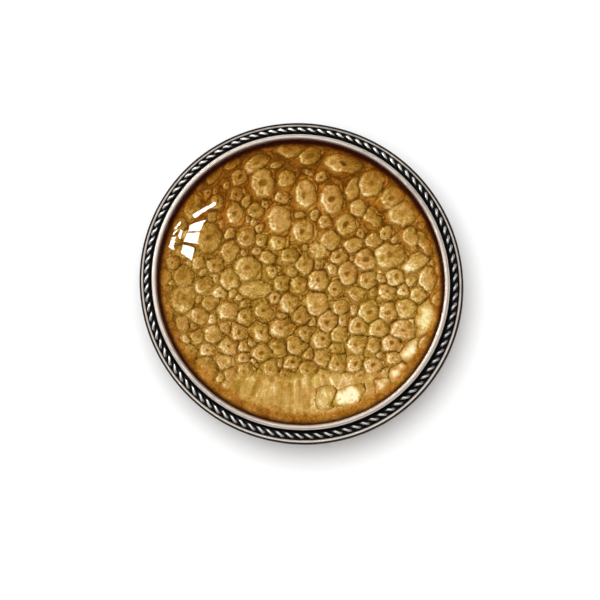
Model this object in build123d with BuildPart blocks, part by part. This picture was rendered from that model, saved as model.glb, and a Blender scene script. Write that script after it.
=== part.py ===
"""Round brooch: a clear domed stone over a gold enamel disc, in a silver setting with a twisted wire.

It lies face up. +Z runs out of the stone, +X along the pin, and the origin is on the surface
under the brooch's middle. Lengths are in millimetres and angles in degrees.
"""

import math
import os

from build123d import *

# Stone: a straight girdle under a spherical dome.
stone_radius = 20.0
girdle_height = 1.1
dome_height = 6.0
stone_foot_bevel = 0.25

# Enamelled disc that lies under the stone.
enamel_thickness = 0.4

# Play between pieces that lie side by side or one on another.
seat_gap = 0.05

# Setting: back plate, bezel that holds the stone, channel for the twisted wire, outer rim.
plate_thickness = 0.8
plate_edge_round = 0.35
bezel_wall = 0.5
lip_reach = 0.2
lip_edge_thickness = 0.16
lip_crown = 0.13
shoulder_height = 0.18
channel_play = 0.04
rim_width = 0.65
rim_side_height = 0.22
rim_crown = 0.3

# Twisted wire: two round wires wound round each other.
wire_radius = 0.26
wire_offset = 0.25
wire_turns = 50
stations_per_turn = 8
facet_angles = (-105, -35, 35, 105)
groove_reach = 0.13

# Pin back: a bar with a hinge end, a catch and a stem between them.
bar_length = 30.0
bar_width = 5.0
bar_thickness = 0.8
stem_radius = 0.45
stem_clear = 1.75
foot_width = 4.2
hinge_radius = 1.0
hinge_inset = 2.6
catch_length = 1.8
catch_inset = 2.6
catch_play = 0.15
catch_corner = 0.35
stem_past_catch = 1.2
point_length = 2.6
point_radius = 0.12

# Heights that follow, from the surface that the brooch lies on.
stem_height = hinge_radius
bar_bottom = stem_height + stem_radius + stem_clear
bar_top = bar_bottom + bar_thickness
plate_bottom = bar_top + seat_gap
plate_top = plate_bottom + plate_thickness
enamel_bottom = plate_top + seat_gap
stone_bottom = enamel_bottom + enamel_thickness + seat_gap
girdle_top = stone_bottom + girdle_height

# Radii that follow, from the middle outwards.
dome_radius = (stone_radius**2 + dome_height**2) / (2 * dome_height)
bezel_inner = stone_radius + seat_gap
bezel_outer = bezel_inner + bezel_wall
twist_reach = wire_offset + wire_radius
channel_middle = bezel_outer + channel_play + twist_reach
channel_outer = channel_middle + twist_reach + channel_play
rim_outer = channel_outer + rim_width


def dome_height_at(radius):
    """Height of the stone's dome at a distance from its axis."""
    fall = math.sqrt(dome_radius**2 - stone_radius**2)
    return girdle_top + math.sqrt(dome_radius**2 - radius**2) - fall


def twist_outline():
    """Outline of the two wires in one cut: four points on each wire and one in each groove."""
    points = []
    for side in (1, -1):
        for angle in facet_angles:
            across = wire_offset + wire_radius * math.cos(math.radians(angle))
            up = wire_radius * math.sin(math.radians(angle))
            points.append((side * across, side * up))
        points.append((0.0, side * groove_reach))
    return points


def twist_ring(outline, height):
    """The outline at each station round the channel, turned a little further each time."""
    stations = wire_turns * stations_per_turn
    ring = []
    for station in range(stations):
        around = 2 * math.pi * station / stations
        twist = -2 * math.pi * station / stations_per_turn
        cut = []
        for across, up in outline:
            out = channel_middle + across * math.cos(twist) - up * math.sin(twist)
            rise = across * math.sin(twist) + up * math.cos(twist)
            cut.append(Vector(out * math.cos(around), out * math.sin(around), height + rise))
        ring.append(cut)
    return ring


def twist_faces(ring):
    """Two triangles for each stretch of the outline between two stations."""
    faces = []
    for here, ahead in zip(ring, ring[1:] + ring[:1]):
        for corner, _ in enumerate(here):
            behind = corner - 1
            for triangle in (
                (here[behind], here[corner], ahead[corner]),
                (here[behind], ahead[corner], ahead[behind]),
            ):
                faces.append(Face(Wire.make_polygon(triangle, close=True)))
    return faces


# Setting: one soldered piece, turned about the brooch's axis.
lip_inner = bezel_inner - lip_reach
lip_under = dome_height_at(lip_inner) + seat_gap
lip_top = lip_under + lip_edge_thickness
shoulder_top = girdle_top + shoulder_height
rim_shoulder = plate_top + rim_side_height
with BuildPart() as setting:
    with BuildSketch(Plane.XZ):
        with BuildLine():
            Polyline(
                (0, plate_top),
                (0, plate_bottom),
                (rim_outer - plate_edge_round, plate_bottom),
            )
            RadiusArc(
                (rim_outer - plate_edge_round, plate_bottom),
                (rim_outer, plate_bottom + plate_edge_round),
                -plate_edge_round,
            )
            Line((rim_outer, plate_bottom + plate_edge_round), (rim_outer, rim_shoulder))
            ThreePointArc(
                (rim_outer, rim_shoulder),
                (rim_outer - rim_width / 2, rim_shoulder + rim_crown),
                (channel_outer, rim_shoulder),
            )
            Polyline(
                (channel_outer, rim_shoulder),
                (channel_outer, plate_top),
                (bezel_outer, plate_top),
                (bezel_outer, shoulder_top),
            )
            SagittaArc((bezel_outer, shoulder_top), (lip_inner, lip_top), -lip_crown)
            Polyline(
                (lip_inner, lip_top),
                (lip_inner, lip_under),
                (bezel_inner, girdle_top + seat_gap),
                (bezel_inner, plate_top),
                (0, plate_top),
            )
        make_face()
    revolve(axis=Axis.Z)
setting.part.label = "setting"

# Twisted wire that lies in the channel between the bezel and the rim.
with BuildPart() as twisted_wire:
    wire_height = plate_top + channel_play + twist_reach
    add(Solid(Shell(twist_faces(twist_ring(twist_outline(), wire_height)))))
twisted_wire.part.label = "twisted_wire"

# Enamelled disc, as wide as the stone.
with BuildPart() as enamel_disc:
    with BuildSketch(Plane.XY.offset(enamel_bottom)):
        Circle(stone_radius)
    extrude(amount=enamel_thickness)
enamel_disc.part.label = "enamel_disc"

# Domed stone.
with BuildPart() as stone:
    with BuildSketch(Plane.XZ):
        with BuildLine():
            Polyline(
                (0, girdle_top + dome_height),
                (0, stone_bottom),
                (stone_radius - stone_foot_bevel, stone_bottom),
                (stone_radius, stone_bottom + stone_foot_bevel),
                (stone_radius, girdle_top),
            )
            RadiusArc((stone_radius, girdle_top), (0, girdle_top + dome_height), -dome_radius)
        make_face()
    revolve(axis=Axis.Z)
stone.part.label = "stone"

# Pin back: one plain piece, shown closed.
hinge_x = hinge_inset - bar_length / 2
catch_x = bar_length / 2 - catch_inset
catch_bore = stem_radius + catch_play
point_end = catch_x + catch_length / 2 + stem_past_catch
with BuildPart() as pin_back:
    with BuildSketch(Plane.XY.offset(bar_bottom)):
        SlotOverall(bar_length, bar_width)
    extrude(amount=bar_thickness)
    # Hinge end: a barrel across the bar on a web.
    with BuildSketch(Plane.XZ.offset(-foot_width / 2)):
        with Locations((hinge_x, stem_height)):
            Circle(hinge_radius)
        with Locations((hinge_x, (stem_height + bar_bottom) / 2)):
            Rectangle(2 * hinge_radius, bar_bottom - stem_height)
    extrude(amount=foot_width)
    # Catch: a block with a bore for the stem, open at one side.
    with BuildSketch(Plane.YZ.offset(catch_x - catch_length / 2)) as catch:
        with Locations((0, bar_bottom / 2)):
            Rectangle(foot_width, bar_bottom)
        fillet(catch.vertices().group_by(Axis.Y)[0], catch_corner)
        with Locations((0, stem_height)):
            Circle(catch_bore, mode=Mode.SUBTRACT)
        with Locations((-foot_width / 2, stem_height)):
            Rectangle(foot_width, 2 * catch_bore, mode=Mode.SUBTRACT)
    extrude(amount=catch_length)
    # Stem: from the middle of the barrel through the catch, with a ground point.
    with BuildSketch(Plane.YZ.offset(hinge_x)):
        with Locations((0, stem_height)):
            Circle(stem_radius)
    extrude(amount=point_end - point_length - hinge_x)
    with BuildSketch(Plane.YZ.offset(point_end - point_length)):
        with Locations((0, stem_height)):
            Circle(stem_radius)
    with BuildSketch(Plane.YZ.offset(point_end)):
        with Locations((0, stem_height)):
            Circle(point_radius)
    loft()
pin_back.part.label = "pin_back"

os.makedirs("parts", exist_ok=True)
for piece in (setting, twisted_wire, enamel_disc, stone, pin_back):
    export_step(piece.part, f"parts/{piece.part.label}.step")

print(f"overall width {2 * rim_outer:.2f} mm, height {girdle_top + dome_height:.2f} mm")
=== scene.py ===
"""Round cabochon brooch lying face up: a clear dome over gold enamel, in a silver setting."""

import math
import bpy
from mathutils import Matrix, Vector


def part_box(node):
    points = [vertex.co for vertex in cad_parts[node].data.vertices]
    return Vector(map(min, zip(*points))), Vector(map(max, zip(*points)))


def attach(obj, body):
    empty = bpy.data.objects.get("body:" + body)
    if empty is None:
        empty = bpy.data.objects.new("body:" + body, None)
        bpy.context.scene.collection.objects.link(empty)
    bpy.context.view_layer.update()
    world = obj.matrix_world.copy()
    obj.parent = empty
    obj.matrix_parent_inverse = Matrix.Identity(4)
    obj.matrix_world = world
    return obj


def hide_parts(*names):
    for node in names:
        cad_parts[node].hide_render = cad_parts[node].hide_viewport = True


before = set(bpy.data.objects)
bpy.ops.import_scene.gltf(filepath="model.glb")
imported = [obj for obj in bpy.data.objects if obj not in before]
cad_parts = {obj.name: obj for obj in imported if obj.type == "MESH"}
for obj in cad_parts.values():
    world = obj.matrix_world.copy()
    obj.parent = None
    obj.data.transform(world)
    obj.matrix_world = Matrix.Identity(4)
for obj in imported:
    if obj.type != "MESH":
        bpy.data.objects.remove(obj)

from types import SimpleNamespace

import bpy
import numpy as np
from bpy.props import FloatProperty, FloatVectorProperty, IntProperty, PointerProperty
from bpy.types import Operator, Panel, PropertyGroup
from mathutils import Matrix, Vector

bl_info = {
    "name": "Cabochon brooch",
    "version": (1, 0, 0),
    "blender": (4, 5, 0),
    "location": "3D View > Sidebar > Brooch",
    "description": "Dresses the brooch's frame with silver, twisted wire, enamel, glass and a pin",
    "category": "Add Mesh",
}

MM = 0.001
DEGREE = math.pi / 180
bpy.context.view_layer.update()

# Sizes that the frame gives
setting_low, setting_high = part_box("setting")
wire_low, wire_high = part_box("twisted_wire")
enamel_low, enamel_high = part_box("enamel_disc")
stone_low, stone_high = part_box("stone")
plate_bottom = setting_low.z
rim_outer = setting_high.x
stone_radius = stone_high.x
wire_height = (wire_low.z + wire_high.z) / 2


def kind_of(made, **settings):
    """Writes properties of one kind by name, description and default."""

    def written(name, description, default):
        return made(name=name, description=description, default=default, **settings)

    return written


length = kind_of(FloatProperty, unit="LENGTH", precision=5)
radians = kind_of(FloatProperty, subtype="ANGLE")
share = kind_of(FloatProperty, min=0.0, max=1.0, subtype="FACTOR")
strength = kind_of(FloatProperty, min=0.0)
whole = kind_of(IntProperty, min=1)
colour = kind_of(FloatVectorProperty, min=0.0, max=1.0, subtype="COLOR")


class SettingLook(PropertyGroup):
    """Sizes and colours of the silver setting."""

    plate: length("Plate", "Thickness of the back plate", 0.8 * MM)
    plate_round: length("Plate edge", "Rounding of the plate's lower edge", 0.3 * MM)
    play: length("Play", "Gap between the stone and the bezel", 0.05 * MM)
    bezel_wall: length("Bezel wall", "Thickness of the bezel", 0.44 * MM)
    lip_reach: length("Lip reach", "How far the lip reaches in over the stone", 0.26 * MM)
    rim_width: length("Rim width", "Width of the outer rim", 0.65 * MM)
    rim_side: length("Rim side", "Height of the rim's side above the plate", 0.2 * MM)
    rim_crown: length("Rim crown", "Height of the rounded top of the rim", 0.3 * MM)
    wobble: length("Wobble", "How uneven hand work leaves the edges", 0.025 * MM)
    # Painted shade: how much darker some sides of the rim and bezel are painted, as the light falls
    # on them.
    painted_side_shade: share("Tarnish", "How much more oxide lies on some sides of the brooch", 0.35)
    silver: colour("Silver", "Bright metal", (0.89, 0.785, 0.69))
    # This black colours both blackened metal in the recesses and painted shade.
    oxide: colour("Oxide", "Blackened metal in the recesses", (0.012, 0.01, 0.009))


class WireLook(PropertyGroup):
    """Sizes and colours of the twisted wire."""

    wire_radius: length("Wire radius", "Radius of each of the two wires", 0.25 * MM)
    wire_offset: length("Wire offset", "From the twist's middle to each wire's", 0.255 * MM)
    play: length("Play", "Gap between the wires and the rim", 0.04 * MM)
    turns: whole("Turns", "Full turns round the brooch", 50)
    # The silver shows only where highlights are painted on the wires; the black below fills the
    # painted shade round them.
    silver: colour("Silver", "Bright tops of the wires", (0.98, 0.95, 0.91))
    oxide: colour("Oxide", "Blackened metal between the wires", (0.008, 0.0075, 0.007))


class EnamelLook(PropertyGroup):
    """Sizes and colours of the enamel."""

    relief: length("Relief", "Height of the cells over the lines between them", 0.2 * MM)
    seed: whole("Seed", "Places the small cells", 7)
    line: colour("Line", "Lines between the cells", (0.075, 0.028, 0.001))
    shade: colour("Shade", "Shaded side of a cell", (0.2, 0.09, 0.006))
    gold: colour("Gold", "Body of a cell", (0.37, 0.2, 0.03))
    light_gold: colour("Light gold", "Raised ring of a cell", (0.6, 0.38, 0.11))
    pale: colour("Pale gold", "Brightest places", (1.0, 0.89, 0.55))
    amber: colour("Amber", "Hollows between the large cells", (0.3, 0.1, 0.006))
    # The red brown also stands for the bezel's shade on the enamel's edge: painted shade.
    edge: colour("Edge", "Red brown round the edge", (0.03, 0.0025, 0.0))
    pink: colour("Pink cast", "Cast of some of the cells", (1.0, 0.86, 0.98))
    olive: colour("Olive cast", "Cast of some other cells", (0.86, 0.92, 0.5))


class StoneLook(PropertyGroup):
    """Sizes and colour of the domed stone."""

    girdle: length("Girdle", "Height of the straight side under the dome", 1.1 * MM)
    foot: length("Foot", "How far the glass reaches down into the relief", 0.28 * MM)
    bevel: length("Bevel", "Width of the bevel round the foot", 0.1 * MM)
    tint: colour("Tint", "Colour of the glass", (1.0, 0.985, 0.955))


class PinLook(PropertyGroup):
    """Colours of the pin."""

    steel: colour("Steel", "Plated steel", (0.66, 0.64, 0.61))
    dull: colour("Dull", "Steel that has gone dull", (0.3, 0.28, 0.26))


class StageLook(PropertyGroup):
    """The floor, the light and the camera."""

    azimuth: radians("Azimuth", "How far round the camera stands, from the front", 25.0 * DEGREE)
    elevation: radians("Elevation", "How high the camera stands over the floor", 81.4 * DEGREE)
    distance: length("Distance", "From the camera to the brooch", 0.7)
    picture_width: length("Picture width", "Width of what the picture takes in", 82.38 * MM)
    aim_x: length("Aim across", "Where the camera aims, from the brooch's middle", -0.115 * MM)
    aim_y: length("Aim along", "Where the camera aims, from the brooch's middle", -2.41 * MM)
    low_light: strength("Low light", "Light from the sides", 0.2)
    high_light: strength("High light", "Light from above", 1.08)
    room_light: strength("Room light", "Light of the room that the stone mirrors", 0.04)
    top_light: strength("Top light", "Light that metal mirrors from above", 1.25)
    window_light: strength("Window light", "Light of the window", 24.0)
    sun_light: strength("Soft light", "Light that draws the soft shadow", 1.82)
    sun_azimuth: radians("Light azimuth", "How far round the light stands, from +X", 117.456 * DEGREE)
    sun_height: radians("Light height", "How high the light stands", 69.0 * DEGREE)
    sun_spread: radians("Light spread", "How wide the light looks from the brooch", 60.0 * DEGREE)
    floor: colour("Floor", "Colour of the floor", (0.97, 0.97, 0.97))


# Meshes


def new_piece(name, points, faces, material, sharp=None):
    """A smooth shaded mesh object with its faces turned outwards."""
    mesh = bpy.data.meshes.new(name)
    mesh.from_pydata([tuple(p) for p in points], [], faces)
    mesh.validate()
    mesh.materials.append(material)
    mesh.shade_smooth()
    if sharp is not None:
        mesh.set_sharp_from_angle(angle=math.radians(sharp))
    piece = bpy.data.objects.new(name, mesh)
    bpy.context.scene.collection.objects.link(piece)
    return piece


def paint(piece, name, values):
    """A number or a vector at each point of the mesh, for the material to read."""
    values = np.asarray(values, dtype=np.float32)
    kind, field = ("FLOAT", "value") if values.ndim == 1 else ("FLOAT_VECTOR", "vector")
    attribute = piece.data.attributes.new(name, kind, "POINT")
    attribute.data.foreach_set(field, values.ravel())


def arc(centre, radii, start, end, steps):
    """Points on part of an ellipse, as (radius, height), from one angle in degrees to another."""
    angles = np.radians(start + (end - start) * np.arange(steps + 1) / steps)
    out, up = radii[0] * np.cos(angles), radii[1] * np.sin(angles)
    return list(zip(centre[0] + out, centre[1] + up))


def straight(start, end, steps):
    """Points between two ends, without the ends."""
    shares = [step / steps for step in range(1, steps)]
    return [tuple(a + (b - a) * t for a, b in zip(start, end)) for t in shares]


# How far hand work leaves the brooch longer from its upper left to its lower right, in radians.
# Each axis leans by this much, which leaves the brooch's box as it is.
OUT_OF_ROUND = 0.015


def drawn_out(x, y):
    """Where a place on the round brooch lies once the brooch is out of round."""
    across, lean = math.cos(OUT_OF_ROUND), math.sin(OUT_OF_ROUND)
    return x * across - y * lean, y * across - x * lean


def lathe(profile, around, shift=None):
    """Points and faces of a profile turned about the axis. It starts and ends on the axis, where
    its first and last points become the two poles. shift may move a point, by its angle."""
    points, faces = [], []
    for number in range(around):
        angle = 2 * math.pi * number / around
        for radius, height in profile[1:-1]:
            if shift:
                radius, height = shift(radius, height, angle)
            points.append((*drawn_out(radius * math.cos(angle), radius * math.sin(angle)), height))
    rows = len(profile) - 2
    first, last = len(points), len(points) + 1
    points += [(0.0, 0.0, profile[0][1]), (0.0, 0.0, profile[-1][1])]
    for number in range(around):
        here, ahead = number * rows, (number + 1) % around * rows
        faces.append((first, ahead, here))
        faces.append((last, here + rows - 1, ahead + rows - 1))
        for row in range(rows - 1):
            faces.append((here + row, ahead + row, ahead + row + 1, here + row + 1))
    return points, faces


def smooth_step(low, high, values):
    """0 below low, 1 above high and a smooth rise between."""
    t = np.clip((values - low) / (high - low), 0.0, 1.0)
    return t * t * (3 - 2 * t)


def direction(turn, height):
    """The direction that lies this far round from +X and this high, as a vector of length 1."""
    flat = math.cos(height)
    return Vector((math.cos(turn) * flat, math.sin(turn) * flat, math.sin(height)))


# Materials


class Value:
    """A socket's number, so that sums on it are written as Python sums."""

    def __init__(self, finish, socket):
        self.finish = finish
        self.socket = socket

    def math(self, operation, *values):
        settings = {"operation": operation}
        return self.finish.node("ShaderNodeMath", settings, dict(enumerate(values)))

    def __add__(self, other):
        return self.math("ADD", self, other)

    def __radd__(self, other):
        return self.math("ADD", other, self)

    def __sub__(self, other):
        return self.math("SUBTRACT", self, other)

    def __rsub__(self, other):
        return self.math("SUBTRACT", other, self)

    def __mul__(self, other):
        return self.math("MULTIPLY", self, other)

    def __rmul__(self, other):
        return self.math("MULTIPLY", other, self)

    def __truediv__(self, other):
        return self.math("DIVIDE", self, other)


class Finish:
    """The nodes of a material or of the world, and the one method that makes them."""

    def __init__(self, owner):
        self.owner = owner
        owner.use_nodes = True
        self.tree = owner.node_tree
        self.tree.nodes.clear()

    def node(self, kind, settings, inputs, output=0):
        """Adds a node by its type, its settings and its sockets' values or links, and gives one of
        its outputs. A ramp's stops are one of the settings, each a place and a colour."""
        made = self.tree.nodes.new(kind)
        for name, value in settings.items():
            if name == "stops":
                ramp = made.color_ramp.elements
                while len(ramp) < len(value):
                    ramp.new(1.0)
                for stop, (place, tone) in zip(ramp, value):
                    stop.position, stop.color = place, (*tone, 1.0)
            else:
                setattr(made, name, value)
        for socket, value in inputs.items():
            if isinstance(value, Value):
                self.tree.links.new(value.socket, made.inputs[socket])
            else:
                made.inputs[socket].default_value = value
        return Value(self, made.outputs[output] if made.outputs else None)

    def attribute(self, name, output="Fac"):
        """A number painted on the mesh, or a vector."""
        return self.node("ShaderNodeAttribute", {"attribute_name": name}, {}, output)

    def place(self, shift=0.0):
        """The place on the object in millimetres, moved along by a shift for a noise of its own."""
        place = self.node("ShaderNodeTexCoord", {}, {}, "Object")
        inputs = {0: place, 1: (1 / MM, 1 / MM, 1 / MM), 2: (shift, 0.0, 0.0)}
        return self.node("ShaderNodeVectorMath", {"operation": "MULTIPLY_ADD"}, inputs)

    def along(self, vector, axis):
        """How far a vector reaches along an axis."""
        settings = {"operation": "DOT_PRODUCT"}
        return self.node("ShaderNodeVectorMath", settings, {0: vector, 1: tuple(axis)}, "Value")

    def noise(self, scale, detail=3.0, roughness=0.5, vector=None, distortion=0.0):
        """Noise from 0 to 1, by how many of its waves go on a unit of the vector, which is a
        millimetre where the vector is the place."""
        inputs = {"Scale": scale, "Detail": detail, "Roughness": roughness, "Distortion": distortion}
        inputs["Vector"] = vector or self.place()
        return self.node("ShaderNodeTexNoise", {}, inputs, "Fac")

    def step(self, value, low, high):
        """0 below low, 1 above high and a smooth rise between."""
        inputs = {"Value": value, "From Min": low, "From Max": high}
        return self.node("ShaderNodeMapRange", {"interpolation_type": "SMOOTHSTEP"}, inputs)

    def hump(self, value, middle, reach):
        """1 where a value is at the middle, and 0 from reach on at both sides."""
        off = value - middle
        return self.step(off.math("ABSOLUTE", off), reach, 0.0)

    def mix(self, factor, one, other, blend="MIX"):
        """A colour between two, which are a node's colours or plain ones. The Mix node's sockets
        6 and 7 and its output 2 are the ones for colours."""
        inputs = {"Factor": factor, 6: tint(one), 7: tint(other)}
        settings = {"data_type": "RGBA", "blend_type": blend, "clamp_factor": True}
        return self.node("ShaderNodeMix", settings, inputs, 2)

    def bump(self, height, distance, strength=1.0, normal=None):
        """A normal bent by a height from 0 to 1, which stands for distance in metres."""
        inputs = {"Height": height, "Distance": distance, "Strength": strength}
        if normal is not None:
            inputs["Normal"] = normal
        return self.node("ShaderNodeBump", {}, inputs)

    def principled(self, inputs):
        """Gives the material a Principled shader."""
        return self.done(self.node("ShaderNodeBsdfPrincipled", {}, inputs))

    def ramp(self, value, stops):
        """A colour by a value from 0 to 1."""
        return self.node("ShaderNodeValToRGB", {"stops": stops}, {"Fac": value})

    def done(self, shader, kind="ShaderNodeOutputMaterial"):
        """Links the shader to the surface and gives the material or world."""
        self.node(kind, {}, {"Surface": shader})
        return self.owner


def tint(value):
    """A colour with its alpha, or a socket as it is."""
    return value if isinstance(value, Value) else (*value, 1.0)


def new_finish(name):
    """The nodes of a new material."""
    return Finish(bpy.data.materials.new(name))


# Silver where it has gone warm and dull
DULL_SILVER = (0.8, 0.66, 0.6)


def silver_finish(name, look, wear, roughness, patchy):
    """Silver that is black where the mesh paints it black, for blackened metal and for painted shade,
    with soft dents and fine wear, given by how many of its waves go on a millimetre."""
    finish = new_finish(name)
    cloud = finish.noise(0.6, detail=4.0)
    grain = finish.noise(wear, detail=5.0, roughness=0.7)
    black = finish.attribute("oxide") + (cloud - 0.5) * 0.3 + (grain - 0.5) * patchy
    black = finish.step(black, 0.2, 0.8)
    dusty = finish.mix(finish.step(cloud, 0.35, 0.75) * 0.3, look.silver, DULL_SILVER)
    dents = finish.bump(cloud, distance=0.05 * MM, strength=0.6)
    inputs = {
        "Base Color": finish.mix(black, dusty, look.oxide),
        "Metallic": 1.0 - black * 0.5,
        "Roughness": roughness - 0.04 + grain * 0.1 + black * 0.2,
        "Normal": finish.bump(grain, distance=0.012 * MM, strength=0.7, normal=dents),
    }
    return finish.principled(inputs)


# The direction from which the enamel's rings carry a painted highlight; their other side carries
# painted shade.
LIT_FROM = direction(205 * DEGREE, 0.0)

# What each mark on the enamel adds to its value: everywhere, and more on the lit side of a cell.
# The lit side column paints light: a painted highlight on the crest and spot, painted shade in
# the shadow ring and on the line, and a lighter arc outside the ring on the side away from the light.
MARKS = {
    # mark: everywhere, lit side
    "outer_arc": (0.14, -0.14),
    "crest": (0.09, 0.22),
    "spot": (0.08, 0.1),
    "hollow": (-0.36, 0.0),
    "painted_shadow_ring": (-0.17, 0.14),
    "line": (-0.2, 0.14),
}


def enamel_marks(finish, wander, speck):
    """Marks from 0 to 1, drawn by how many of a ring's radii a place lies out from its cell's
    middle, and by the gap to the next cell."""
    ring, packed = finish.attribute("ring"), finish.attribute("packed")
    out = finish.attribute("out") + (wander - 0.5) * 0.55 + (speck - 0.5) * 0.15
    gap = finish.attribute("gap") + (speck - 0.5) * 0.16
    line = finish.step(gap, 0.13, 0.02) * finish.step(wander, 0.3, 0.5)
    return {
        "hollow": finish.step(out, 0.34, 0.12) * finish.attribute("pit"),
        "spot": finish.hump(out, 0.45, 0.22) * ring,
        "crest": finish.hump(out, 0.86, 0.32) * ring,
        "painted_shadow_ring": finish.hump(out, 1.17, 0.2) * ring * (1.0 - packed * 0.7),
        "outer_arc": finish.hump(out, 1.34, 0.13) * ring * finish.step(wander, 0.42, 0.58),
        "line": line * (1.0 - finish.attribute("pale") * 0.6) * (1.0 + packed * 0.6),
        "streaked": finish.hump(out, 0.7, 0.5) * (ring * 0.9 + 0.1),
        "inner": finish.step(out, 1.0, 0.6) * ring,
        "body": finish.step(out, 1.0, 0.7) * ring,
    }


def enamel_folds(finish):
    """Thin light and dark folds that wander over the enamel, side by side."""
    level = finish.noise(0.8, 1.5, 0.5, finish.place(83.0), distortion=1.3)
    folds = finish.hump(level, 0.4, 0.06) - finish.hump(level, 0.47, 0.05)
    return folds + finish.hump(level, 0.55, 0.05) - finish.hump(level, 0.61, 0.05)


def enamel_colour(finish, look, value, amber, inner):
    """The colour by a value from 0 to 1: gold, with amber where the mesh says so and in stains."""
    drift = finish.noise(0.3, 2.0, 0.5, finish.place(9.0))
    tones = (look.line, look.shade, look.gold, look.light_gold, look.pale)
    gold = finish.ramp(value, [(place / 4, tone) for place, tone in enumerate(tones)])
    pinkish = inner * 0.35 + finish.step(drift, 0.5, 0.7) * 0.4
    gold = finish.mix(pinkish, gold, look.pink, "MULTIPLY")
    gold = finish.mix(finish.step(drift, 0.5, 0.3) * 0.5, gold, look.olive, "MULTIPLY")
    deep = tuple(0.4 * c for c in look.amber)
    bright = tuple(c * more for c, more in zip(look.amber, (1.8, 2.3, 5.0)))
    warm = finish.ramp(value, ((0.1, deep), (0.45, look.amber), (0.85, bright)))
    stain = finish.step(finish.noise(0.8, 3.0, 0.6, finish.place(57.0)), 0.56, 0.66)
    return finish.mix(amber + stain * (1.0 - inner * 0.7) * 0.6, gold, warm)


def enamel_finish(look):
    """Pearl gold that runs from brown lines to pale rings, with amber between and at the edge, and
    red brown at the very edge, which also paints the bezel's shade. Each ring carries a painted
    highlight on its lower left, and painted shade, a thin dark line, follows its other side. The
    pale places carry painted light."""
    finish = new_finish("Pearl gold enamel")
    amber, edge, ring, pale = map(finish.attribute, ("amber", "edge", "ring", "pale"))
    aim = finish.attribute("aim", "Vector")
    flow = finish.noise(0.45, 4.0, 0.6)
    speck = finish.noise(2.2, 5.0, 0.75)
    wander = finish.noise(1.0, 3.0, 0.6, finish.place(31.0))
    streak = finish.noise(2.7, 3.0, 0.75, aim) - 0.5
    fan = finish.noise(1.1, 3.0, 0.5, finish.attribute("fan", "Vector")) - 0.5
    marks = enamel_marks(finish, wander, speck)
    folds = enamel_folds(finish) * (1.0 - marks["body"] * 0.5) * (1.0 - pale * 0.8)

    value = finish.attribute("value") + (flow - 0.5) * (amber * 0.8 + 0.3) + (speck - 0.5) * 0.52
    lit = finish.along(aim, LIT_FROM)
    for mark, (everywhere, lit_side) in MARKS.items():
        value = value + marks[mark] * (lit * lit_side + everywhere)
    # The fan streaks the pale places, which carry painted light.
    value = value + streak * marks["streaked"] + folds * 0.15 + fan * pale * 0.9
    base = enamel_colour(finish, look, value, amber, marks["inner"])
    relief = folds * 0.3 + marks["crest"] * 0.5 - marks["hollow"] * 0.5 - marks["line"] * 0.4
    relief = relief + speck * 0.8 + streak * ring * 0.4 + flow
    inputs = {
        "Base Color": finish.mix(edge, base, look.edge),
        "Metallic": 0.25 * (1.0 - edge),
        "Roughness": 0.34,
        "Specular IOR Level": 0.0,
        "Normal": finish.bump(relief, distance=0.05 * MM, strength=0.7),
    }
    return finish.principled(inputs)


def glass_finish(look):
    """Clear glass. Light reaches what lies under it straight, and only the eye's rays are bent."""
    finish = new_finish("Clear glass")
    bent = 1.0
    for name in ("Is Shadow Ray", "Is Diffuse Ray", "Is Glossy Ray"):
        bent = bent * (1.0 - finish.node("ShaderNodeLightPath", {}, {}, name))
    glass_tint = tint(look.tint)
    inputs = {"Base Color": glass_tint, "Roughness": 0.0, "IOR": 1.5, "Transmission Weight": 1.0}
    glass = finish.node("ShaderNodeBsdfPrincipled", {}, inputs)
    clear = finish.node("ShaderNodeBsdfTransparent", {}, {"Color": glass_tint})
    return finish.done(finish.node("ShaderNodeMixShader", {}, {0: 1.0 - bent, 1: glass, 2: clear}))


def pin_finish(look):
    """Plated steel, brushed and a little dull."""
    finish = new_finish("Plated steel")
    cloud = finish.noise(0.5, detail=4.0)
    grain = finish.noise(6.0, detail=4.0, roughness=0.7)
    dulled = finish.step(cloud + grain * 0.4, 0.5, 1.0) * 0.6
    inputs = {
        "Base Color": finish.mix(dulled, look.steel, look.dull),
        "Metallic": 1.0,
        "Roughness": 0.3 + grain * 0.15,
        "Normal": finish.bump(grain, distance=0.01 * MM, strength=0.6),
    }
    return finish.principled(inputs)


# Setting

# Waves of hand work round the brooch: how many go round, where they start and their share
WAVES = ((3, 0.5, 0.4), (7, 1.9, 0.3), (13, 0.2, 0.2), (29, 2.4, 0.12))


def wobbly(look):
    """Gives the shift that leaves bezel and rim a little out of round, as hand work does."""
    bezel_from = stone_radius - 0.5 * MM
    channel_outer = rim_outer - look.rim_width
    rim_outside = rim_outer - 0.4 * look.rim_width

    def shift(radius, height, angle):
        if radius < bezel_from:
            return radius, height
        out = sum(size * math.sin(count * angle + start) for count, start, size in WAVES)
        up = sum(size * math.sin(count * angle + 2.1 * start) for count, start, size in WAVES)
        raised = min(max(0.0, height - plate_bottom - look.plate) / MM, 1.0)
        room = 1.0 if radius < channel_outer else 0.5
        inwards = -abs(out) if radius > rim_outside else out
        return radius + look.wobble * inwards * room, height - look.wobble * abs(up) * raised

    return shift


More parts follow.
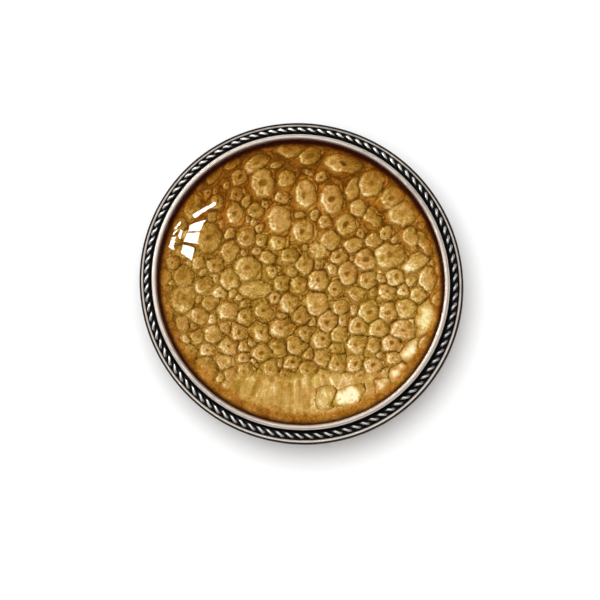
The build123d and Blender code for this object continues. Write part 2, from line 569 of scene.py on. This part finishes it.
def setting_profile(look):
    """The setting's section from the plate's underside round the rim and bezel to its top, and the
    share of black at each point: blackened metal in the recesses, and painted shade on the rim's
    outer slope and side, down to the outline."""
    top = plate_bottom + look.plate
    bezel_inner = stone_radius + look.play
    bezel_outer = bezel_inner + look.bezel_wall
    lip_inner = bezel_inner - look.lip_reach
    lip_top = setting_high.z
    lip_under = lip_top - 0.2 * MM
    shoulder = lip_top - 0.34 * MM
    lip_half = (bezel_outer - lip_inner) / 2
    channel_outer = rim_outer - look.rim_width
    rim_shoulder = top + look.rim_side
    rim_middle = (rim_outer - look.rim_width / 2, rim_shoulder)
    edge = (rim_outer - look.plate_round, plate_bottom + look.plate_round)
    corner = 0.12 * MM

    def painted_light_and_oxide(radius, height):
        """The black on the rim and on the bezel: blackened metal towards the channel and low on the
        bezel, and painted shade on the rim's outer slope down to the outline, so that only the rim's
        crown and the bezel's top stay bright.
        """
        if radius > channel_outer:
            across = (rim_outer - radius) / look.rim_width
            outside = 1 - smooth_step(0.2, 0.42, across)
            return float(min(1.0, outside + 0.1 + smooth_step(0.74, 0.95, across)))
        return float(1 - smooth_step(0.72, 0.9, (height - top) / (lip_top - top)))

    stretches = (
        ([(0.0, plate_bottom)], 0.0),
        (straight((0.0, plate_bottom), (edge[0], plate_bottom), 6), 0.15),
        (arc(edge, (look.plate_round, look.plate_round), -90, 0, 6), 0.45),
        (straight((rim_outer, edge[1]), (rim_outer, rim_shoulder), 3), 0.6),
        (arc(rim_middle, (look.rim_width / 2, look.rim_crown), 0, 180, 20), None),
        (straight((channel_outer, rim_shoulder), (channel_outer, top), 2), 1.0),
        (arc((channel_outer - corner, top + corner), (corner, corner), 0, -90, 3), 1.0),
        (arc((bezel_outer + corner, top + corner), (corner, corner), -90, -180, 3), 1.0),
        (straight((bezel_outer, top + corner), (bezel_outer, shoulder), 8), None),
        (arc((lip_inner + lip_half, shoulder), (lip_half, lip_top - shoulder), 0, 180, 20), None),
        ([(lip_inner, lip_under), (bezel_inner, lip_under - corner)], 1.0),
        ([(bezel_inner, top), (0.0, top)], 1.0),
    )
    profile, oxide = [], []
    for points, even_share in stretches:
        for point in points:
            profile.append(point)
            oxide.append(painted_light_and_oxide(*point) if even_share is None else even_share)
    return profile, oxide


def with_painted_side_shade(look, profile, oxide, around):
    """The profile's share of black at each point of the lathe, with painted shade added on some
    sides.
    """
    turn = 2 * np.pi * np.arange(around)[:, None] / around
    radii = np.array([radius for radius, _ in profile[1:-1]])
    on_rim = radii > rim_outer - look.rim_width
    outside = radii > rim_outer - 0.45 * look.rim_width
    # Painted shade: the rim is painted darker towards the top and, on its outer part, towards the
    # upper left; the bezel and the rest darker towards the upper right and lower left, as the light
    # falls.
    more = (0.5 + 0.5 * np.cos(turn - 1.3)) * on_rim + (0.5 + 0.5 * np.sin(2 * turn)) * ~on_rim
    more = look.painted_side_shade * (more + (1 + np.cos(turn - 2.2)) * outside)
    rows = np.minimum(np.array(oxide[1:-1]) + more, 1.0)
    return [*rows.ravel(), oxide[0], oxide[-1]]


class BROOCH_OT_setting(Operator):
    """Turn the silver setting: back plate, bezel, channel and rim"""

    bl_idname = "brooch.setting"
    bl_label = "Setting"

    def execute(self, context):
        look = context.scene.brooch_setting
        around = 720
        profile, oxide = setting_profile(look)
        points, faces = lathe(profile, around, wobbly(look))
        finish = silver_finish("Antique silver", look, wear=3.0, roughness=0.48, patchy=0.25)
        piece = new_piece("silver_setting", points, faces, finish, sharp=50)
        paint(piece, "oxide", with_painted_side_shade(look, profile, oxide, around))
        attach(piece, "root")
        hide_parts("setting")
        return {"FINISHED"}


# Twisted wire


def painted_wire_highlights(facet, wire, around, twist, out, rise):
    """How bright the wires are painted: painted highlights where a facet faces up or outwards and
    stands high, and painted shade next to the other wire and where the bezel's shade falls. They
    are painted brighter towards the upper left, as if lit from there, and a little dimmer towards
    the upper right. out and rise are shares of the twist's reach."""
    # Painted highlight: the wires are painted brighter towards the upper left, as if lit from there.
    painted_light_and_oxide = (0.5 + 0.5 * np.cos(around - 2.45)) ** 2
    lean = 0.1 + 0.35 * painted_light_and_oxide
    facing = np.sin(facet + twist) * np.cos(lean) + np.cos(facet + twist) * np.sin(lean)
    bright = smooth_step(0.0, 0.45, facing - 0.36 + 0.3 * painted_light_and_oxide)
    bright *= smooth_step(0.0, 0.35, rise - 0.25 + 0.25 * painted_light_and_oxide)
    bright *= smooth_step(-0.5, 0.1, np.cos(facet - wire))
    bright *= 0.85 + 0.15 * np.cos(around - 3.9)
    # Painted shade: the inner side of the wires is dark where the bezel's shade falls on it.
    bezel_shade_reach = -0.42 + 0.12 * np.cos(around - 2.0)
    return bright * smooth_step(0.0, 0.4, out - bezel_shade_reach)


def twisted_wires(look, channel_outer):
    """Points, faces and share of black of the two wires wound round each other in the channel:
    black everywhere but where highlights are painted.
    """
    reach = look.wire_offset + look.wire_radius
    middle = channel_outer - look.play - reach
    stations_per_turn, sides = 32, 18
    stations = look.turns * stations_per_turn
    around = 2 * np.pi * np.arange(stations) / stations
    twist = -look.turns * around
    wire = np.array([0.0, np.pi])[:, None, None]
    facet = wire + 2 * np.pi * np.arange(sides)[:, None] / sides
    across = look.wire_offset * np.cos(wire) + look.wire_radius * np.cos(facet)
    up = look.wire_offset * np.sin(wire) + look.wire_radius * np.sin(facet)
    out = across * np.cos(twist) - up * np.sin(twist)
    rise = across * np.sin(twist) + up * np.cos(twist)
    flat = drawn_out((middle + out) * np.cos(around), (middle + out) * np.sin(around))
    points = np.stack([*flat, wire_height + rise], axis=-1)
    bright = painted_wire_highlights(facet, wire, around, twist, out / reach, rise / reach)

    # Each face joins two stations on two sides that lie next to each other.
    index = np.arange(bright.size).reshape(bright.shape)
    beside = np.roll(index, -1, axis=1)
    corners = [index, np.roll(index, -1, axis=2), np.roll(beside, -1, axis=2), beside]
    faces = np.stack(corners, axis=-1).reshape(-1, 4).tolist()
    return points.reshape(-1, 3), faces, 1.0 - bright.ravel()


class BROOCH_OT_twisted_wire(Operator):
    """Wind the twisted wire that lies in the channel"""

    bl_idname = "brooch.twisted_wire"
    bl_label = "Twisted wire"

    def execute(self, context):
        look = context.scene.brooch_wire
        channel_outer = rim_outer - context.scene.brooch_setting.rim_width
        points, faces, oxide = twisted_wires(look, channel_outer)
        finish = silver_finish("Oxidised silver wire", look, wear=4.0, roughness=0.16, patchy=0.6)
        piece = new_piece("wound_wire", points, faces, finish)
        paint(piece, "oxide", oxide)
        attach(piece, "root")
        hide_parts("twisted_wire")
        return {"FINISHED"}


# Enamel

# The cells that stand out. Each has its middle and radius in millimetres, how many times longer
# than wide it is, the direction of its length in degrees, how dark the pit in its middle is, and
# how much lighter or darker than the rest it is. The palest, at the lower right and bottom, carry
# painted light: the light that the dome gathers there.
MAIN_CELLS = (
    # x, y, radius, stretch, lean, pit, light
    (-5.0, 13.2, 1.65, 1.4, 96, 0.6, 0.3),
    (-8.1, 14.1, 1.03, 1.0, 0, 1.0, -0.1),
    (-5.9, 16.0, 1.35, 1.6, 36, 0.5, 0.1),
    (-9.1, 16.2, 0.88, 1.9, 35, 0.0, -0.4),
    (-8.6, 9.0, 1.08, 1.3, 91, 0.9, 0.1),
    (-2.7, 8.0, 1.51, 1.2, 80, 0.0, 0.2),
    (-1.8, 13.7, 1.1, 1.1, 62, 0.5, -0.1),
    (-1.2, 18.0, 1.44, 1.7, 178, 0.0, -0.2),
    (1.2, 17.0, 1.35, 1.3, 28, 0.4, -0.2),
    (-12.1, 5.9, 1.77, 1.1, 81, 0.6, -0.2),
    (-9.2, 4.0, 1.13, 1.1, 59, 0.3, 0.0),
    (-11.2, 2.2, 0.97, 1.3, 178, 0.8, 0.0),
    (-6.8, 1.8, 1.47, 1.1, 18, 0.6, 0.2),
    (-5.1, 5.4, 0.82, 1.1, 178, 1.0, 0.0),
    (-6.9, 5.7, 1.09, 1.2, 178, 0.6, -0.2),
    (-2.8, 5.0, 0.97, 1.1, 0, 1.0, 0.1),
    (-15.5, 0.8, 1.39, 1.1, 57, 0.2, -0.3),
    (-9.0, 0.3, 1.25, 1.1, 89, 0.5, 0.1),
    (-14.5, 10.4, 1.33, 1.6, 77, 0.4, -0.3),
    (-11.7, 14.8, 1.15, 2.1, 57, 0.0, -0.4),
    (5.7, 15.9, 1.71, 1.8, 172, 0.9, 0.2),
    (4.1, 10.8, 1.6, 1.4, 89, 1.0, 0.3),
    (0.6, 11.4, 1.49, 1.5, 90, 0.8, 0.3),
    (5.9, 7.3, 1.25, 1.1, 60, 1.0, 0.3),
    (0.3, 6.4, 1.27, 1.1, 90, 1.0, 0.2),
    (7.0, 12.4, 1.16, 1.8, 74, 0.0, 0.1),
    (9.4, 13.1, 1.68, 1.3, 60, 0.4, 0.2),
    (12.3, 11.2, 1.54, 1.4, 41, 0.5, 0.1),
    (13.7, 9.1, 1.74, 1.4, 22, 0.3, 0.3),
    (7.7, 9.5, 1.07, 1.2, 129, 0.0, 0.3),
    (9.4, 8.3, 1.14, 1.6, 139, 0.2, -0.2),
    (3.9, 5.2, 1.14, 1.0, 0, 0.0, 0.1),
    (6.8, 4.6, 1.0, 1.4, 10, 0.3, 0.3),
    (2.6, 3.9, 1.0, 1.6, 169, 0.0, 0.5),
    (11.7, 3.3, 1.64, 1.2, 0, 0.7, 0.2),
    (8.5, 2.7, 1.28, 1.1, 0, 0.9, 0.1),
    (6.1, 0.9, 1.23, 1.2, 89, 1.0, 0.1),
    (2.4, 0.0, 1.25, 1.1, 89, 0.9, 0.2),
    (8.7, 0.0, 1.11, 1.1, 0, 0.5, 0.0),
    (12.5, 0.4, 1.1, 1.1, 0, 0.8, 0.3),
    (14.7, 5.9, 1.1, 1.2, 120, 0.0, 0.2),
    (16.6, 5.1, 1.24, 2.0, 120, 0.2, 0.0),
    (15.4, 2.4, 1.22, 2.3, 29, 0.0, 0.4),
    (16.9, 0.2, 1.31, 1.3, 79, 0.0, 0.3),
    (-15.5, -2.0, 1.66, 1.1, 78, 0.3, -0.2),
    (-13.3, -4.4, 1.12, 1.1, 0, 0.7, 0.0),
    (-9.3, -3.8, 1.18, 1.3, 0, 0.0, 0.0),
    (-1.4, -2.9, 1.19, 1.2, 89, 0.9, 0.1),
    (-5.7, -1.1, 1.23, 2.5, 0, 0.0, 0.5),
    (-2.5, -6.1, 1.2, 1.2, 19, 0.6, 0.1),
    (-11.4, -6.9, 1.15, 1.2, 0, 0.0, 0.2),
    (-9.4, -8.5, 1.14, 1.1, 0, 1.0, 0.1),
    (-0.7, -8.5, 1.14, 1.0, 0, 0.6, 0.1),
    (2.1, -3.1, 1.42, 1.1, 89, 0.4, 0.3),
    (8.9, -4.2, 1.22, 1.1, 0, 0.8, 0.1),
    (11.5, -4.2, 1.17, 1.1, 0, 0.8, 0.2),
    (13.8, -3.7, 1.21, 1.3, 18, 0.3, 0.3),
    (3.5, -5.4, 1.23, 1.1, 90, 1.0, 0.1),
    (7.6, -5.9, 1.15, 1.1, 0, 0.9, 0.1),
    (10.3, -6.3, 1.17, 1.1, 0, 0.6, 0.0),
    (13.6, -6.6, 1.36, 1.3, 169, 0.9, 0.2),
    (7.3, -8.4, 1.12, 1.1, 0, 0.8, 0.1),
    (12.0, -8.3, 1.12, 1.1, 0, 1.0, 0.2),
    (9.6, -11.2, 1.04, 1.4, 178, 1.0, 0.1),
    (16.6, -5.2, 1.5, 2.2, 82, 0.0, 0.78),
    (14.8, -9.3, 1.1, 1.7, 60, 0.0, 1.0),
    (13.1, -12.4, 1.12, 1.7, 48, 0.0, 0.9),
    (11.0, -14.1, 0.95, 1.3, 50, 0.0, 0.75),
    (9.1, -15.0, 0.95, 1.4, 80, 0.0, 0.5),
    (6.8, -15.3, 1.45, 2.7, 20, 0.0, 1.0),
    (3.1, -15.6, 1.3, 1.4, 85, 0.0, 0.75),
    (0.6, -15.2, 1.6, 1.5, 80, 0.0, 0.5),
    (-2.1, -14.9, 1.5, 1.3, 90, 0.0, 0.5),
    (-4.6, -14.9, 1.4, 1.4, 90, 0.0, 0.45),
    (-6.8, -14.5, 1.3, 1.4, 80, 0.0, 0.35),
    (-9.3, -14.5, 1.4, 1.2, 90, 0.2, -0.1),
    (-12.6, -11.6, 1.5, 1.2, 130, 0.1, -0.2),
)


def scatter_cells(seed):
    """The main cells, and small ones that fill the room between them, largest first. The last
    number of a row is the radius of the bead that the cell's ring lies on."""
    draw = np.random.default_rng(seed)
    main = np.array(MAIN_CELLS)
    spread = 1.1 + 0.3 * smooth_step(1.0, 8.0, main[:, 1])
    cells = np.column_stack([main, main[:, 2] * spread])
    tries, disc_radius, overlap, ring_share = 2600, 19.4, 0.86, 0.84
    for size in (1.15, 0.95, 0.78, 0.62, 0.5):
        for _ in range(tries):
            angle, away = draw.uniform(0, 2 * math.pi), disc_radius * math.sqrt(draw.uniform())
            x, y = away * math.cos(angle), away * math.sin(angle)
            bead = size * draw.uniform(0.92, 1.08)
            row = (x, y, ring_share * bead, draw.uniform(1.0, 1.35), draw.uniform(0, 180))
            row += (draw.uniform(0.2, 1.0), draw.normal(0.0, 0.16), bead)
            room = overlap * (bead + cells[:, 7] * np.sqrt(cells[:, 3]))
            if np.all(np.hypot(x - cells[:, 0], y - cells[:, 1]) > room):
                cells = np.vstack([cells, row])
    return cells


def disc_grid(count):
    """Points of a square grid bent to a disc of radius 1, as (across, along), row by row."""
    line = np.linspace(-1, 1, count)
    a, b = np.meshgrid(line, line)
    wide = np.abs(a) > np.abs(b)
    safe_a, safe_b = np.where(a == 0, 1, a), np.where(b == 0, 1, b)
    radius = np.where(wide, a, b)
    angle = np.where(wide, np.pi / 4 * b / safe_a, np.pi / 2 - np.pi / 4 * a / safe_b)
    return (radius * np.cos(angle)).ravel(), (radius * np.sin(angle)).ravel()


def nearest_cells(x, y, cells):
    """For each point in millimetres: its own cell, how many of the ring's radii it lies from the
    cell's middle, its angle there, and how far it is from the next cell."""
    size, stretch, lean = cells[:, 7], np.sqrt(cells[:, 3]), np.radians(cells[:, 4])
    own, out, angle, gap = (np.zeros(len(x)) for _ in range(4))
    at_once = 8000
    for start in range(0, len(x), at_once):
        part = slice(start, start + at_once)
        dx = x[part, None] - cells[None, :, 0]
        dy = y[part, None] - cells[None, :, 1]
        along = (dx * np.cos(lean) + dy * np.sin(lean)) / (size * stretch)
        across = (dy * np.cos(lean) - dx * np.sin(lean)) / (size / stretch)
        far = np.hypot(along, across)
        beyond = (far - 1) * size
        rows = np.arange(len(far))
        first, second = np.argpartition(beyond, 1, axis=1)[:, :2].T
        own[part] = first
        out[part] = far[rows, first] * size[first] / cells[first, 2]
        angle[part] = np.arctan2(dy[rows, first], dx[rows, first])
        gap[part] = (beyond[rows, second] - beyond[rows, first]) / 2
    return own.astype(int), out, angle, gap


def hump(values, middle, width):
    """A smooth hump, 1 at its middle."""
    return np.exp(-(((values - middle) / width) ** 2))


def disc_parts(x, y, light):
    """Parts of the disc by their places in millimetres, each from 0 outside to 1 inside."""
    away, turn = np.hypot(x, y), np.arctan2(y, x)
    part = SimpleNamespace()
    part.top = smooth_step(8.0, 16.0, y)
    part.brow = smooth_step(15.0, 17.0, y)
    part.low = smooth_step(-8.0, -15.0, y)
    part.blurred = smooth_step(-7.0, -14.0, x) * smooth_step(8.0, 3.0, y)
    part.upper_left = smooth_step(-4.0, -10.0, x) * smooth_step(8.0, 12.0, y)
    part.upper_right = smooth_step(2.0, 7.0, x) * smooth_step(1.0, 6.0, y)
    part.lower_left = smooth_step(-5.0, -9.0, x) * smooth_step(2.0, -2.0, y)
    part.packed = smooth_step(-1.0, -6.0, y) * (1 - part.blurred)

    # Round the edge the cells end in plain amber, further in at the bottom, and then in red brown.
    # The red brown is also painted shade, the bezel's shade on the enamel: the band is shifted round
    # the edge, and the red brown further still, so that it is wider on some sides.
    rim = away + 0.03 + 0.11 * np.sin(turn) + 0.1 * np.sin(2 * turn)
    rim_below = rim + 0.35 * smooth_step(-5.0, -13.0, y)
    reddened = rim + 0.06 * np.sin(turn) - 0.055 * np.sin(2 * turn) - 0.03 * np.cos(turn)
    part.plain = smooth_step(17.9, 18.5, rim_below) * (0.45 + 0.55 * smooth_step(-6.0, -13.0, y))
    part.amber = smooth_step(17.4, 18.5, rim_below)
    part.edge = smooth_step(18.45, 19.25, rim)
    part.reddened = smooth_step(18.45, 19.25, reddened)

    # At the bottom the cells run together to a pale band, painted light that the dome gathers there,
    # and only the brightest stand out of it.
    band = smooth_step(-11.8, -13.0, y) * smooth_step(-11.0, -8.0, x) * (1 - part.plain)
    part.band = band * (1 - smooth_step(0.5, 0.65, light))
    return part


def enamel_fields(x, y, look):
    """The enamel's height from 0 to 1 at each point in millimetres, and what its finish reads."""
    cells = scatter_cells(look.seed)
    sway = 0.1 * np.sin(2.3 * x + 1.1 * y) + 0.08 * np.sin(3.7 * y - 1.9 * x)
    own, out, angle, gap = nearest_cells(*drawn_out(x + sway, y + 0.8 * sway), cells)
    pit_depth, light = cells[own, 5], cells[own, 6]
    part = disc_parts(x, y, light)

    # A bead, and the ring on it with a pit in its middle
    smooth = smooth_step(0.3, 0.6, light)
    bead = smooth_step(0.0, 0.3, gap)
    body = 1 - smooth_step(0.9, 1.15, out)
    ring = hump(out, 0.62, 0.26) * (1 - smooth)
    pit = hump(out, 0.0, 0.24) * pit_depth
    height = bead * (0.6 + 0.15 * body + 0.25 * ring) - 0.35 * pit
    height = height * (1 - 0.2 * part.blurred) + 0.15 * part.blurred
    flat = 0.75 + 0.2 * hump(gap, 0.0, 0.1)
    height = height + (flat - height) * np.maximum(0.8 * part.band, part.plain)
    height = height * (1 - part.edge) + 0.5 * part.edge

    # How light the enamel is. The glow of the palest cells and the pale band at the bottom are
    # painted light, the light that the dome gathers at the bottom and lower right. The enamel is also
    # painted lighter towards the bottom and darker towards the top, and some areas are lighter or
    # darker besides.
    shine = smooth_step(0.5, 1.0, light) * smooth_step(0.0, 1.1, gap)
    glow = 0.2 * np.minimum(light, 0.45) + 0.34 * shine
    value = 0.04 * body + 0.08 * bead + glow * bead - 0.06 * part.top
    cream = 0.1 + 0.12 * hump(gap, 0.0, 0.09) + 0.12 * hump(x, 4.0, 5.0)
    cream = cream + 0.1 * np.maximum(light, 0)
    value = (value * (1 - part.band) + cream * part.band) * (1 - 0.6 * part.plain)
    value += 0.425 + 0.05 * part.low - 0.04 * part.top - 0.05 * part.brow + 0.003 * x
    value += 0.05 * part.lower_left - 0.09 * part.upper_right - 0.07 * part.upper_left
    patches = np.sin(1.2 * x + 0.7 * y + 1.0) * np.sin(1.0 * y - 0.6 * x)
    value += 0.13 * part.blurred * patches + 0.03 * part.top * body - 0.07 * part.top * (1 - body)

    # Where amber takes the place of gold
    between = smooth_step(0.85, 1.4, out) * (1 - part.band) * (1 - 0.8 * part.blurred)
    amber = (0.1 + 0.7 * smooth_step(1.0, 9.0, y)) * between + 0.12 * part.top
    amber = np.maximum(amber + 0.3 * part.upper_left, 0.75 * part.amber)

    # How clearly the rings are drawn, and how far the lines between the cells are closed
    drawn = (1 - 0.85 * part.band) * (1 - 0.6 * part.plain) * (1 - 0.15 * part.blurred)
    drawn = drawn * (1 - smooth)
    closed = 0.3 * part.band + 0.3 * part.plain + 0.03 * part.blurred
    # pale marks the pale band and the palest cells, which carry painted light.
    fields = {
        "value": value,
        "amber": amber,
        "edge": part.reddened,
        "ring": drawn,
        "pit": pit_depth * drawn,
        "out": np.minimum(out, 2.0),
        "gap": np.minimum(gap, 1.0) + closed,
        "pale": np.maximum(part.band, smooth_step(0.5, 0.9, light) * bead) * (1 - part.plain),
        "packed": part.packed,
        "aim": np.stack([np.cos(angle), np.sin(angle), own], axis=1),
        "fan": np.stack([18 * np.arctan2(y, x), 0.15 * np.hypot(x, y), 0 * x], axis=1),
    }
    return height, fields


def enamel_mesh(look):
    """Points and faces of the disc with its raised cells, and what its finish reads at each."""
    count = 308
    radius = stone_radius - 0.03 * MM
    u, v = disc_grid(count)
    x, y = u * radius / MM, v * radius / MM
    height, fields = enamel_fields(x, y, look)
    top = enamel_high.z - look.relief + look.relief * np.clip(height, 0, 1)
    points = np.stack([*drawn_out(x * MM, y * MM), top], axis=1)
    index = np.arange(count * count).reshape(count, count)
    corners = [index[:-1, :-1], index[:-1, 1:], index[1:, 1:], index[1:, :-1]]
    faces = np.stack(corners, axis=-1).reshape(-1, 4).tolist()

    # A wall down from the border, and the underside, which fans out from its middle
    border = np.concatenate([index[0, :-1], index[:-1, -1], index[-1, :0:-1], index[:0:-1, 0]])
    foot = points[border].copy()
    foot[:, 2] = enamel_low.z
    middle = len(points) + len(border)
    for number, corner in enumerate(border.tolist()):
        after = (number + 1) % len(border)
        below, below_after = count * count + number, count * count + after
        faces.append((int(border[after]), corner, below, below_after))
        faces.append((below_after, below, middle))
    points = np.concatenate([points, foot, [[0.0, 0.0, enamel_low.z]]])
    for name, values in fields.items():
        below = np.zeros((len(border) + 1, *values.shape[1:]))
        fields[name] = np.concatenate([values, below])
    return points, faces, fields


class BROOCH_OT_enamel(Operator):
    """Raise the enamel's cells and lay the disc under the stone"""

    bl_idname = "brooch.enamel"
    bl_label = "Enamel"

    def execute(self, context):
        look = context.scene.brooch_enamel
        points, faces, fields = enamel_mesh(look)
        piece = new_piece("gold_enamel", points, faces, enamel_finish(look))
        for name, values in fields.items():
            paint(piece, name, values)
        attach(piece, "root")
        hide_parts("enamel_disc")
        return {"FINISHED"}


# Stone


class BROOCH_OT_stone(Operator):
    """Turn the clear domed stone"""

    bl_idname = "brooch.stone"
    bl_label = "Stone"

    def execute(self, context):
        look = context.scene.brooch_stone
        rise = stone_high.z - stone_low.z - look.girdle
        ball = (stone_radius**2 + rise**2) / (2 * rise)
        lean = math.degrees(math.asin(stone_radius / ball))
        foot = stone_low.z - look.foot
        profile = [(0.0, foot), (stone_radius - look.bevel, foot), (stone_radius, foot + look.bevel)]
        profile += arc((0.0, stone_high.z - ball), (ball, ball), 90 - lean, 90, steps=96)
        points, faces = lathe(profile, around=256)
        piece = new_piece("glass_dome", points, faces, glass_finish(look), sharp=20)
        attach(piece, "root")
        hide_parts("stone")
        return {"FINISHED"}


# Pin


class BROOCH_OT_pin_back(Operator):
    """Give the pin its plated steel"""

    bl_idname = "brooch.pin_back"
    bl_label = "Pin back"

    def execute(self, context):
        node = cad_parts["pin_back"]
        node.data.materials.clear()
        node.data.materials.append(pin_finish(context.scene.brooch_pin))
        return {"FINISHED"}


# Stage


# The window's panes, which show in the glass and the metal alone. A pane's corners run round it,
# as how far to the left and how far up each lies from WINDOW_WAY, in hundredths of the distance.
# WINDOW_WAY is how far round from +X and how high the window stands, in degrees.
WINDOW_WAY = (150.0, 28.0)
PANES = (
    (-8.8, -0.3, -24.6, 8.7, -26.1, 6.1, -10.0, -4.0),
    (0.7, 0.4, -3.1, 9.7, -12.4, 9.2, -3.8, -1.0),
    (8.0, 0.7, 5.8, 12.9, -2.2, 10.0, 1.9, 0.3),
    (15.7, 2.2, 17.8, 14.4, 8.8, 12.3, 9.9, 1.3),
    (2.5, -12.9, 2.9, -10.8, -2.7, -9.1, -3.3, -10.7),
    (6.7, -10.1, 3.5, -8.6, 2.1, -9.6, 5.5, -11.8),
    (6.3, -6.3, 7.3, -2.8, 1.8, -4.1, 1.3, -6.7),
    (14.9, -10.5, 15.9, -4.8, 6.8, -8.3, 7.9, -11.1),
)

# How far inside a pane's edge its light starts and is full, in the same hundredths
PANE_EDGE = (-0.15, 0.4)

# Where the light that metal mirrors comes from, its brighter and its dimmer side, and how much
# brighter and dimmer they are
METAL_LIGHT_FROM = (-0.22, 0.14, 0.96)
METAL_BRIGHT_SIDE = (-0.94, 0.34, 0.0)
METAL_DIM_SIDE = (0.34, 0.94, 0.0)
METAL_LEAN = 0.8


def window_light(sky, way):
    """1 where a direction leads through one of the window's panes and 0 elsewhere."""
    turn, height = map(math.radians, WINDOW_WAY)
    ahead, left = direction(turn, height), direction(turn + math.pi / 2, 0.0)
    up = ahead.cross(left)
    far, side, rise = (sky.along(way, axis) for axis in (ahead, left, up))
    side, rise = 100.0 * side / far, 100.0 * rise / far
    glow = 0.0
    for pane in PANES:
        corners = list(zip(pane[0::2], pane[1::2]))
        inside = 1.0
        for (x0, y0), (x1, y1) in zip(corners, corners[1:] + corners[:1]):
            edge = math.hypot(x1 - x0, y1 - y0)
            a, b = (y0 - y1) / edge, (x1 - x0) / edge
            past_edge = side * a + rise * b - (x0 * a + y0 * b)
            inside = inside * sky.step(past_edge, *PANE_EDGE)
        glow = glow + inside
    return glow * sky.step(far, 0.0, 0.1)


def add_camera(scene, look):
    """Aims the camera at the brooch from the photo's side."""
    lens = bpy.data.cameras.new("camera")
    camera = bpy.data.objects.new("camera", lens)
    scene.collection.objects.link(camera)
    lens.sensor_width = 36.0
    lens.lens = lens.sensor_width * look.distance / look.picture_width
    lens.clip_start, lens.clip_end = 0.01, 20.0
    back = direction(look.azimuth - math.pi / 2, look.elevation)
    across = Vector((0.0, 1.0, 0.0)).cross(back).normalized()
    turn = Matrix((across, back.cross(across), back)).transposed()
    aim = Vector((look.aim_x, look.aim_y, (plate_bottom + setting_high.z) / 2))
    camera.matrix_world = Matrix.Translation(aim + back * look.distance) @ turn.to_4x4()
    scene.camera = camera


def paper_floor(look):
    """A plain sheet of white paper, large enough for any view."""
    finish = new_finish("White paper")
    shaded = tuple(0.985 * c for c in look.floor)
    shade = finish.mix(finish.noise(0.4), look.floor, shaded)
    paper = finish.principled({"Base Color": shade, "Roughness": 0.9})
    half = 3.0
    corners = [(-half, -half, 0), (half, -half, 0), (half, half, 0), (-half, half, 0)]
    return new_piece("white_floor", corners, [(0, 1, 2, 3)], paper)


def soft_sky(look):
    """Light from all round for dull surfaces, from above and one side for metal, and for the clear
    reflection in the stone a dark room with a window."""
    sky = Finish(bpy.data.worlds.new("soft white"))
    way = sky.node("ShaderNodeTexCoord", {}, {}, "Generated")
    rise = sky.node("ShaderNodeSeparateXYZ", {}, {"Vector": way}, "Z")
    glossy = sky.node("ShaderNodeLightPath", {}, {}, "Is Glossy Ray")
    mirrored = sky.node("ShaderNodeLightPath", {}, {}, "Is Singular Ray")
    light = look.low_light + (look.high_light - look.low_light) * sky.step(rise, 0.0, 0.95)
    bright_side = sky.along(way, METAL_BRIGHT_SIDE)
    dim_side = sky.along(way, METAL_DIM_SIDE)
    lean = 1.0 + METAL_LEAN * (bright_side * bright_side - dim_side * dim_side)
    studio = look.top_light * sky.step(sky.along(way, METAL_LIGHT_FROM), 0.15, 1.0) * lean
    studio = look.room_light + studio
    room = look.room_light + 0.5 * sky.step(rise, 0.2, 0.0)
    window = look.window_light * window_light(sky, way)
    light = light + (studio - light) * glossy
    light = light + (room - light) * mirrored + window * glossy * (1.0 + 0.5 * mirrored)
    white = sky.node("ShaderNodeBackground", {}, {"Strength": light})
    return sky.done(white, "ShaderNodeOutputWorld")


def add_sun(scene, look):
    """A wide sun that draws the soft shadow and doesn't show in the metal."""
    sun = bpy.data.lights.new("soft_sun", "SUN")
    sun.angle = look.sun_spread
    sun.energy = look.sun_light
    high = bpy.data.objects.new("soft_sun", sun)
    towards = direction(look.sun_azimuth, look.sun_height)
    high.rotation_euler = towards.to_track_quat("Z", "Y").to_euler()
    high.visible_glossy = False
    scene.collection.objects.link(high)


class BROOCH_OT_stage(Operator):
    """Set up the camera, the floor and the soft light"""

    bl_idname = "brooch.stage"
    bl_label = "Stage"

    def execute(self, context):
        scene = context.scene
        look = scene.brooch_stage
        add_camera(scene, look)
        floor = paper_floor(look)
        scene.world = soft_sky(look)
        add_sun(scene, look)
        scene.view_settings.view_transform = "Standard"
        return {"FINISHED"}


class BROOCH_PT_brooch(Panel):
    """The brooch's pieces and their sizes and colours"""

    bl_label = "Brooch"
    bl_idname = "BROOCH_PT_brooch"
    bl_space_type = "VIEW_3D"
    bl_region_type = "UI"
    bl_category = "Brooch"

    def draw(self, context):
        for operator, group, _ in STEPS:
            box = self.layout.box()
            box.operator(operator.bl_idname)
            look = getattr(context.scene, group)
            for name in look.__annotations__:
                box.prop(look, name)


STEPS = (
    (BROOCH_OT_stage, "brooch_stage", StageLook),
    (BROOCH_OT_setting, "brooch_setting", SettingLook),
    (BROOCH_OT_twisted_wire, "brooch_wire", WireLook),
    (BROOCH_OT_enamel, "brooch_enamel", EnamelLook),
    (BROOCH_OT_stone, "brooch_stone", StoneLook),
    (BROOCH_OT_pin_back, "brooch_pin", PinLook),
)


def register():
    """Registers the looks, the operators and the panel."""
    for operator, name, look in STEPS:
        bpy.utils.register_class(look)
        setattr(bpy.types.Scene, name, PointerProperty(type=look))
        bpy.utils.register_class(operator)
    bpy.utils.register_class(BROOCH_PT_brooch)


def unregister():
    """Takes them out again, last first."""
    bpy.utils.unregister_class(BROOCH_PT_brooch)
    for operator, name, look in reversed(STEPS):
        bpy.utils.unregister_class(operator)
        delattr(bpy.types.Scene, name)
        bpy.utils.unregister_class(look)


def main():
    """Makes the brooch and its stage."""
    register()
    for operator, _, _ in STEPS:
        prefix, name = operator.bl_idname.split(".")
        getattr(getattr(bpy.ops, prefix), name)()
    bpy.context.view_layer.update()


if __name__ == "__main__":
    main()
